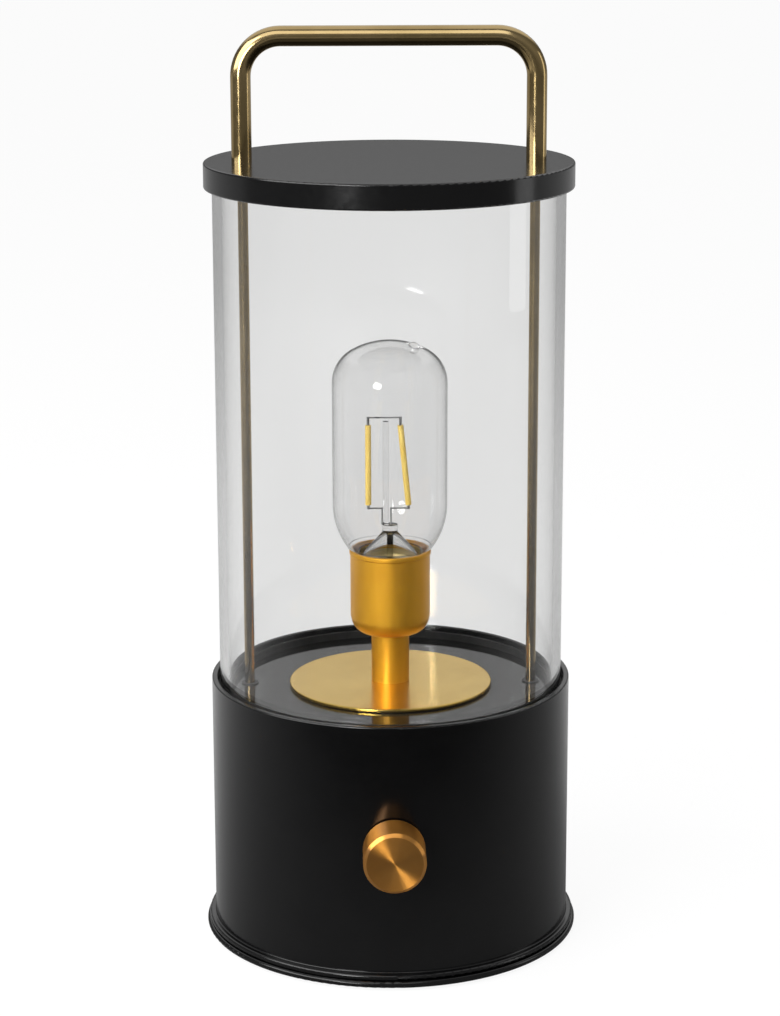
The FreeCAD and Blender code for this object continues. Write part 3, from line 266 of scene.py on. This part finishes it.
def body_paint(name):
    """Satin black powder coat."""
    return surface(name, (0.0012, 0.0012, 0.0013), (0.0018, 0.0018, 0.0019), (0.15, 0.20),
                   grain=1800.0, bump=0.05, specular=0.41)


def deck_gloss(name):
    """Glossy black."""
    return surface(name, (0.004, 0.004, 0.004), (0.007, 0.0068, 0.0065), (0.06, 0.10),
                   specular=0.46)


def glass(name, density):
    """Clear glass that is slightly grey where it is thick, and lets the lamps shine through."""
    material, tree, shader, place = start(name)
    colour = blend_colours(tree, noise(tree, place, 9.0), (0.985, 0.985, 0.985), (1, 1, 1))
    tree.links.new(colour, shader.inputs["Base Color"])
    fine = noise(tree, place, 30.0)
    tree.links.new(blend_values(tree, fine, 0.0, 0.004), shader.inputs["Roughness"])
    shader.inputs["Transmission Weight"].default_value = 1.0
    shader.inputs["IOR"].default_value = GLASS_IOR
    clear = tree.nodes.new("ShaderNodeBsdfTransparent")
    clear.inputs["Color"].default_value = GLASS_SHADOW
    ray = tree.nodes.new("ShaderNodeLightPath")
    mix = tree.nodes.new("ShaderNodeMixShader")
    tree.links.new(ray.outputs["Is Shadow Ray"], mix.inputs["Fac"])
    tree.links.new(shader.outputs["BSDF"], mix.inputs[1])
    tree.links.new(clear.outputs["BSDF"], mix.inputs[2])
    output = tree.nodes["Material Output"]
    tree.links.new(mix.outputs["Shader"], output.inputs["Surface"])
    body = tree.nodes.new("ShaderNodeVolumeAbsorption")
    body.inputs["Color"].default_value = GLASS_DEPTH_TINT
    body.inputs["Density"].default_value = density
    tree.links.new(body.outputs["Volume"], output.inputs["Volume"])
    return material


def clear_glass(name):
    """The tube's glass."""
    return glass(name, 20.0)


def bulb_glass(name):
    """The bulb's thin glass, paler than the tube's."""
    return glass(name, 5.0)


def antique_brass(name):
    """Polished antique brass under lacquer."""
    return surface(name, (0.40, 0.29, 0.13), (0.50, 0.37, 0.18), (0.12, 0.17), patch=40.0,
                   metallic=1.0, grain=700.0, bump=0.04)


def gold_satin(name):
    """Satin orange-gold."""
    return surface(name, (0.84, 0.42, 0.022), (0.90, 0.47, 0.030), (0.46, 0.52), patch=50.0,
                   metallic=1.0, grain=2200.0, bump=0.05, coat=0.6)


def turned_metal(name, dark, light, rough, axis, anisotropy, pitch, bump, centre_height=0.0):
    """Metal faced on a lathe: fine rings about an axis at a height, with its highlight drawn out."""
    material, tree, shader, place = start(name)
    moved = tree.nodes.new("ShaderNodeMapping")
    moved.inputs["Location"].default_value = (0, 0, -centre_height * MM)
    tree.links.new(place, moved.inputs["Vector"])
    rings = tree.nodes.new("ShaderNodeTexWave")
    rings.wave_type = "RINGS"
    rings.rings_direction = axis
    rings.inputs["Scale"].default_value = 2 * pi / (20 * pitch * MM)
    rings.inputs["Distortion"].default_value = RING_WANDER
    tree.links.new(moved.outputs["Vector"], rings.inputs["Vector"])
    add_bump(tree, shader, rings.outputs["Fac"], bump, RING_DEPTH)
    tangent = tree.nodes.new("ShaderNodeTangent")
    tangent.direction_type = "RADIAL"
    tangent.axis = axis
    tree.links.new(tangent.outputs["Tangent"], shader.inputs["Tangent"])
    shader.inputs["Anisotropic"].default_value = anisotropy
    shader.inputs["Anisotropic Rotation"].default_value = QUARTER_TURN
    shader.inputs["Metallic"].default_value = 1.0
    shader.inputs["Coat Weight"].default_value = 0.5
    shader.inputs["Coat Roughness"].default_value = COAT_ROUGHNESS
    drift = noise(tree, place, 60.0)
    tree.links.new(blend_colours(tree, drift, dark, light), shader.inputs["Base Color"])
    fine = noise(tree, place, 400.0)
    tree.links.new(blend_values(tree, fine, *rough), shader.inputs["Roughness"])
    return material


def gold_polished(name):
    """The deck's pale gold disc, polished in rings."""
    return turned_metal(name, (0.90, 0.585, 0.11), (0.96, 0.635, 0.13), (0.20, 0.25), axis="Z",
                        anisotropy=0.3, pitch=0.6, bump=0.02)


def knob_brass(name):
    """The knob's turned brass."""
    middle = (foot("dimmer_knob") + head("dimmer_knob")) / 2
    return turned_metal(name, (0.77, 0.32, 0.048), (0.85, 0.38, 0.07), (0.29, 0.33), axis="Y",
                        anisotropy=0.97, pitch=0.5, bump=0.012, centre_height=middle)


def cap_metal(name):
    """Plain brass."""
    return surface(name, (0.78, 0.60, 0.27), (0.86, 0.68, 0.33), (0.38, 0.48), metallic=1.0)


def steel(name):
    """Zinc-plated steel."""
    return surface(name, (0.42, 0.42, 0.43), (0.55, 0.55, 0.56), (0.25, 0.38), metallic=1.0)


def rubber(name):
    """Matt black rubber."""
    return surface(name, (0.010, 0.010, 0.010), (0.020, 0.020, 0.020), (0.6, 0.8), bump=0.15,
                   specular=0.3)


def black_plastic(name):
    """Moulded black plastic."""
    return surface(name, (0.014, 0.014, 0.015), (0.024, 0.024, 0.026), (0.4, 0.55), bump=0.1)


def ceramic(name):
    """Glazed white ceramic."""
    return surface(name, (0.74, 0.72, 0.68), (0.84, 0.82, 0.78), (0.12, 0.2))


def filament_coat(name):
    """Soft yellow coating."""
    return surface(name, (0.90, 0.60, 0.11), (0.94, 0.68, 0.17), (0.5, 0.6), patch=120.0)


def board_green(name):
    """Circuit board under its green mask."""
    return surface(name, (0.02, 0.09, 0.04), (0.03, 0.13, 0.06), (0.3, 0.4))


def cell_wrap(name):
    """Blue shrink wrap."""
    return surface(name, (0.03, 0.09, 0.24), (0.05, 0.13, 0.32), (0.3, 0.4))


def lead_cover(name):
    """Red wire cover."""
    return surface(name, (0.28, 0.02, 0.02), (0.38, 0.03, 0.03), (0.4, 0.5))


FINISHES = {
    "body_paint": body_paint,
    "deck_gloss": deck_gloss,
    "antique_brass": antique_brass,
    "gold_satin": gold_satin,
    "gold_polished": gold_polished,
    "knob_brass": knob_brass,
    "cap_metal": cap_metal,
    "steel": steel,
    "rubber": rubber,
    "black_plastic": black_plastic,
    "ceramic": ceramic,
    "filament_coat": filament_coat,
    "board_green": board_green,
    "cell_wrap": cell_wrap,
    "lead_cover": lead_cover,
    "clear_glass": clear_glass,
    "bulb_glass": bulb_glass,
}
finish_for = {slot: make(slot) for slot, make in FINISHES.items()}


def dress(piece, slot):
    """Give a piece the finish of a material slot."""
    piece.data.materials.clear()
    piece.data.materials.append(finish_for[slot])


def stand_for(node, mesh):
    """Show a finer mesh in place of a CAD node, on the node's body and with its finish."""
    piece = bpy.data.objects.new(node + "_fine", mesh)
    scene.collection.objects.link(piece)
    dress(piece, slot_of[node])
    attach(piece, body_of[node])
    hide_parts(node)


for node, piece in frame["nodes"].items():
    dress(piece, slot_of[node])


# ---------------------------------------------------------------- finer pieces

GLASS_WALL = 3.5
GLASS_EDGE = 0.9
THREAD_PITCH = 3.629
THREAD_DEPTH = 0.38
THREAD_STEP = 0.24
SHEET_BRASS = 0.4
CAP_CONE = 2.4
CAP_RIM = 9.4
FILAMENT_RADIUS = 1.15
WIRE_RADIUS = 0.3
STUB_RADIUS = 0.55
WIRE_DROP = 1.4
WIRE_FEET = (-3.1, 0.35)


def make_glass_tube():
    """The glass tube, with its cut ends eased."""
    outer = reach("glass_tube")
    inner = outer - GLASS_WALL
    low, high = foot("glass_tube"), head("glass_tube")
    profile = rounded([
        (inner, low, GLASS_EDGE),
        (outer, low, GLASS_EDGE),
        (outer, high, GLASS_EDGE),
        (inner, high, GLASS_EDGE),
    ])
    stand_for("glass_tube", lathe("glass_tube", profile))


def threaded(across, angle, up, bottom, top):
    """A round-topped screw thread, pressed into a wall and fading out at its two ends."""
    fade = min(1, max(0, (up - bottom) / THREAD_PITCH), max(0, (top - up) / THREAD_PITCH))
    wave = 0.5 - 0.5 * cos(2 * pi * (up / THREAD_PITCH) - angle)
    return across - THREAD_DEPTH * wave * fade, up


def threaded_wall(low, high):
    """Heights close enough together to carry a thread."""
    count = ceil((high - low) / THREAD_STEP)
    return [low + (high - low) * k / count for k in range(count + 1)]


def make_bulb_cap():
    """The bulb's screw cap, rolled from thin brass so that its thread shows inside as well."""
    outer = reach("bulb_cap")
    low, high = foot("bulb_cap"), head("bulb_cap")
    heights = threaded_wall(low + CAP_CONE, high)
    profile = [Vector((CAP_RIM, low))]
    profile += [Vector((outer, up)) for up in heights]
    profile += [Vector((outer - SHEET_BRASS, up)) for up in reversed(heights)]
    profile.append(Vector((CAP_RIM - SHEET_BRASS, low + SHEET_BRASS)))

    def lift(across, angle, up):
        return threaded(across, angle, up, low + CAP_CONE, high)

    stand_for("bulb_cap", lathe("bulb_cap", profile, turns=THREAD_TURNS, lift=lift))


def make_screw_shell():
    """The lampholder's shell, pressed to the same thread as the bulb's cap."""
    outer = reach("screw_shell")
    low, high = foot("screw_shell"), head("screw_shell")
    heights = threaded_wall(low, high)
    profile = [Vector((outer, up)) for up in heights]
    profile += [Vector((outer - SHEET_BRASS, up)) for up in reversed(heights)]

    def lift(across, angle, up):
        return threaded(across, angle, up, low, high)

    stand_for("screw_shell", lathe("screw_shell", profile, turns=THREAD_TURNS, lift=lift))


def make_bulb_wires():
    """The wires between filaments and press, with the thicker stub at each filament's end."""
    left_low, left_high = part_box("filament_left")
    right_low, right_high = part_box("filament_right")
    left = (left_low.x + left_high.x) / 2 / MM
    right_top = right_low.x / MM + FILAMENT_RADIUS
    right_base = right_high.x / MM - FILAMENT_RADIUS
    top, bottom = head("filament_left"), foot("filament_left")
    over = head("bulb_wires") - WIRE_RADIUS
    under = bottom - WIRE_DROP
    press = foot("bulb_wires")
    left_foot, right_foot = WIRE_FEET
    runs = [
        ((left, 0, over), (right_top, 0, over), WIRE_RADIUS),
        ((left, 0, under), (left_foot, 0, under), WIRE_RADIUS),
        ((right_base, 0, under), (right_foot, 0, under), WIRE_RADIUS),
        ((left_foot, 0, under + WIRE_RADIUS), (left_foot, 0, press), WIRE_RADIUS),
        ((right_foot, 0, under + WIRE_RADIUS), (right_foot, 0, press), WIRE_RADIUS),
        ((left, 0, top), (left, 0, over + WIRE_RADIUS), STUB_RADIUS),
        ((right_top, 0, top), (right_top, 0, over + WIRE_RADIUS), STUB_RADIUS),
        ((left, 0, bottom), (left, 0, under - WIRE_RADIUS), STUB_RADIUS),
        ((right_base, 0, bottom), (right_base, 0, under - WIRE_RADIUS), STUB_RADIUS),
    ]
    stand_for("bulb_wires", bars("bulb_wires", runs))


make_glass_tube()
make_bulb_cap()
make_screw_shell()
make_bulb_wires()


# ---------------------------------------------------------------- room

FLOOR_HALF = 15.0
FLOOR_WHITE = 0.90
FLOOR_SHADED = 0.12
# Painted shade in front of the lamp and painted light behind it, in the colour the floor shows in gloss and
# as a light.
FLOOR_FRONT_PAINTED_SHADE = 0.03
FLOOR_BEHIND_PAINTED_LIGHT = 0.62
FLOOR_FAR = 0.32
PAINTED_GLOW_IN_GLOSS = 0.35
SKY_LEAN = (0, 0.55, 0.83)
SKY_SPAN = (-0.6, 0.85)
SKY_STOPS = ((0.0, 0.15), (0.96, 0.90), (0.366, 0.30), (0.862, 0.16))
LAMP_AIM = Vector((0, 0, 0.19))


def grey(level):
    """A neutral colour."""
    return (level, level, level)


def add_floor():
    """A pale floor that keeps the lamp's shadow: white as seen, and darker in gloss and as a light, where it
    carries painted shade in front and painted light behind.
    """
    mesh = bpy.data.meshes.new("floor")
    corners = [(-1, -1), (1, -1), (1, 1), (-1, 1)]
    mesh.from_pydata([(x * FLOOR_HALF, y * FLOOR_HALF, 0) for x, y in corners], [], [(0, 1, 2, 3)])
    floor = bpy.data.objects.new("floor", mesh)
    scene.collection.objects.link(floor)
    mesh.materials.append(floor_material())


def floor_material():
    """White where it is seen, and otherwise painted shade in front, painted light behind and grey far off,
    as metal and glass show it in reflection; behind, it also glows partly white in gloss as painted light.
    """
    material = bpy.data.materials.new("floor")
    material.use_nodes = True
    tree = material.node_tree
    tree.nodes.clear()
    place = tree.nodes.new("ShaderNodeTexCoord").outputs["Object"]
    across = tree.nodes.new("ShaderNodeSeparateXYZ")
    tree.links.new(place, across.inputs["Vector"])
    # Painted shade in front and painted light behind: the floor's colour goes from dark to pale along Y.
    behind = ramp_between(tree, across.outputs["Y"], -0.3, 0.3)
    near = blend_colours(tree, behind, grey(FLOOR_FRONT_PAINTED_SHADE), grey(FLOOR_BEHIND_PAINTED_LIGHT), 0, 1)
    distance = tree.nodes.new("ShaderNodeVectorMath")
    distance.operation = "LENGTH"
    tree.links.new(place, distance.inputs[0])
    far = tree.nodes.new("ShaderNodeMix")
    far.data_type = "RGBA"
    tree.links.new(ramp_between(tree, distance.outputs["Value"], 0.6, 1.6), far.inputs["Factor"])
    tree.links.new(near, far.inputs["A"])
    far.inputs["B"].default_value = (*grey(FLOOR_FAR), 1)
    plain = tree.nodes.new("ShaderNodeBsdfDiffuse")
    tree.links.new(far.outputs["Result"], plain.inputs["Color"])
    white = tree.nodes.new("ShaderNodeEmission")
    white.inputs["Strength"].default_value = FLOOR_WHITE
    shaded = tree.nodes.new("ShaderNodeBsdfDiffuse")
    shaded.inputs["Color"].default_value = (*grey(FLOOR_SHADED), 1)
    both = tree.nodes.new("ShaderNodeAddShader")
    tree.links.new(white.outputs["Emission"], both.inputs[0])
    tree.links.new(shaded.outputs["BSDF"], both.inputs[1])
    # Painted light: behind the lamp the floor glows white in gloss, up to this share.
    in_gloss = ramp_between(tree, across.outputs["Y"], 0.1, 0.6, most=PAINTED_GLOW_IN_GLOSS)
    mix = tree.nodes.new("ShaderNodeMixShader")
    tree.links.new(backdrop_share(tree, in_gloss), mix.inputs["Fac"])
    tree.links.new(plain.outputs["BSDF"], mix.inputs[1])
    tree.links.new(both.outputs["Shader"], mix.inputs[2])
    output = tree.nodes.new("ShaderNodeOutputMaterial")
    tree.links.new(mix.outputs["Shader"], output.inputs["Surface"])
    return material


def ramp_between(tree, value, low, high, most=1.0):
    """From 0 to the most as a value goes from low to high."""
    spread = tree.nodes.new("ShaderNodeMapRange")
    spread.inputs["From Min"].default_value = low
    spread.inputs["From Max"].default_value = high
    spread.inputs["To Max"].default_value = most
    tree.links.new(value, spread.inputs["Value"])
    return spread.outputs["Result"]


def calculate(tree, operation, first, second):
    """One step of arithmetic on a value, with another value or a number."""
    step = tree.nodes.new("ShaderNodeMath")
    step.operation = operation
    tree.links.new(first, step.inputs[0])
    if isinstance(second, float):
        step.inputs[1].default_value = second
    else:
        tree.links.new(second, step.inputs[1])
    return step.outputs["Value"]


def backdrop_share(tree, behind=None):
    """1 for what is seen straight or through glass, the share behind in gloss, 0 for light on the object."""
    ray = tree.nodes.new("ShaderNodeLightPath")
    shown = calculate(tree, "LESS_THAN", ray.outputs["Glossy Depth"], 0.5)
    if behind:
        shown = calculate(tree, "MAXIMUM", shown, behind)
    lit = calculate(tree, "LESS_THAN", ray.outputs["Diffuse Depth"], 0.5)
    return calculate(tree, "MULTIPLY", shown, lit)


def set_world():
    """White behind the lamp, and a soft studio round it that is palest overhead and behind."""
    world = bpy.data.worlds.new("studio")
    scene.world = world
    world.use_nodes = True
    tree = world.node_tree
    tree.nodes.clear()
    way = tree.nodes.new("ShaderNodeTexCoord").outputs["Generated"]
    lean = tree.nodes.new("ShaderNodeVectorMath")
    lean.operation = "DOT_PRODUCT"
    lean.inputs[1].default_value = SKY_LEAN
    tree.links.new(way, lean.inputs[0])
    ramp = tree.nodes.new("ShaderNodeValToRGB")
    tree.links.new(ramp_between(tree, lean.outputs["Value"], *SKY_SPAN), ramp.inputs["Fac"])
    stops = ramp.color_ramp.elements
    for stop, (position, level) in zip(stops, SKY_STOPS):
        stop.position = position
        stop.color = (*grey(level), 1)
    for position, level in SKY_STOPS[len(stops):]:
        stops.new(position).color = (*grey(level), 1)
    sky = tree.nodes.new("ShaderNodeBackground")
    tree.links.new(ramp.outputs["Color"], sky.inputs["Color"])
    white = tree.nodes.new("ShaderNodeBackground")
    white.inputs["Color"].default_value = (1, 1, 1, 1)
    mix = tree.nodes.new("ShaderNodeMixShader")
    tree.links.new(backdrop_share(tree), mix.inputs["Fac"])
    tree.links.new(sky.outputs["Background"], mix.inputs[1])
    tree.links.new(white.outputs["Background"], mix.inputs[2])
    output = tree.nodes.new("ShaderNodeOutputWorld")
    tree.links.new(mix.outputs["Shader"], output.inputs["Surface"])


def add_lamp(name, turn, rise, distance, width, height, power, shape="RECTANGLE",
             through_glass=False):
    """A soft lamp: turn is round from the knob's side towards +X, rise is above the lamp's middle."""
    turn, rise = radians(turn), radians(rise)
    away = Vector((sin(turn) * cos(rise), -cos(turn) * cos(rise), sin(rise)))
    light = bpy.data.lights.new(name, "AREA")
    light.shape = shape
    light.size = width
    light.size_y = height
    light.energy = power
    lamp = bpy.data.objects.new(name, light)
    scene.collection.objects.link(lamp)
    lamp.location = LAMP_AIM + away * distance
    lamp.rotation_euler = away.to_track_quat("Z", "Y").to_euler()
    lamp.visible_camera = False
    lamp.visible_transmission = through_glass


def add_lamps():
    """Two soft boxes, a small round lamp whose spot shows in the bulb, and a strip on the right."""
    add_lamp("softbox_left", turn=-62, rise=30, distance=1.4, width=1.2, height=1.0, power=17.0)
    add_lamp("softbox_front", turn=-14, rise=50, distance=1.4, width=1.3, height=0.8, power=5.0)
    add_lamp("lamp_round", turn=-26, rise=12, distance=1.5, width=0.48, height=0.58, power=9.0,
             shape="ELLIPSE", through_glass=True)
    add_lamp("strip_right", turn=88, rise=11, distance=1.3, width=0.35, height=0.84, power=1.3)


# ---------------------------------------------------------------- camera

CAMERA_DISTANCE = 1.04986
CAMERA_HEIGHT = 0.430865
CAMERA_TURN = radians(1.0)
CAMERA_PITCH = radians(13.964)
CAMERA_ROLL = radians(-0.149)
CAMERA_LENS = 98.72
CAMERA_SENSOR = 36.0


def add_camera():
    """The photograph's camera: a little to the left of the knob, looking down on the lamp."""
    lens = bpy.data.cameras.new("camera")
    lens.lens = CAMERA_LENS
    lens.sensor_width = CAMERA_SENSOR
    camera = bpy.data.objects.new("camera", lens)
    scene.collection.objects.link(camera)
    turned = Matrix.Rotation(-CAMERA_TURN, 4, "Z")
    place = turned @ Matrix.Translation((0, -CAMERA_DISTANCE, CAMERA_HEIGHT))
    aim = Matrix.Rotation(pi / 2 - CAMERA_PITCH, 4, "X") @ Matrix.Rotation(CAMERA_ROLL, 4, "Z")
    camera.matrix_world = place @ aim
    scene.camera = camera


add_floor()
set_world()
add_lamps()
add_camera()

scene.view_settings.view_transform = "Standard"
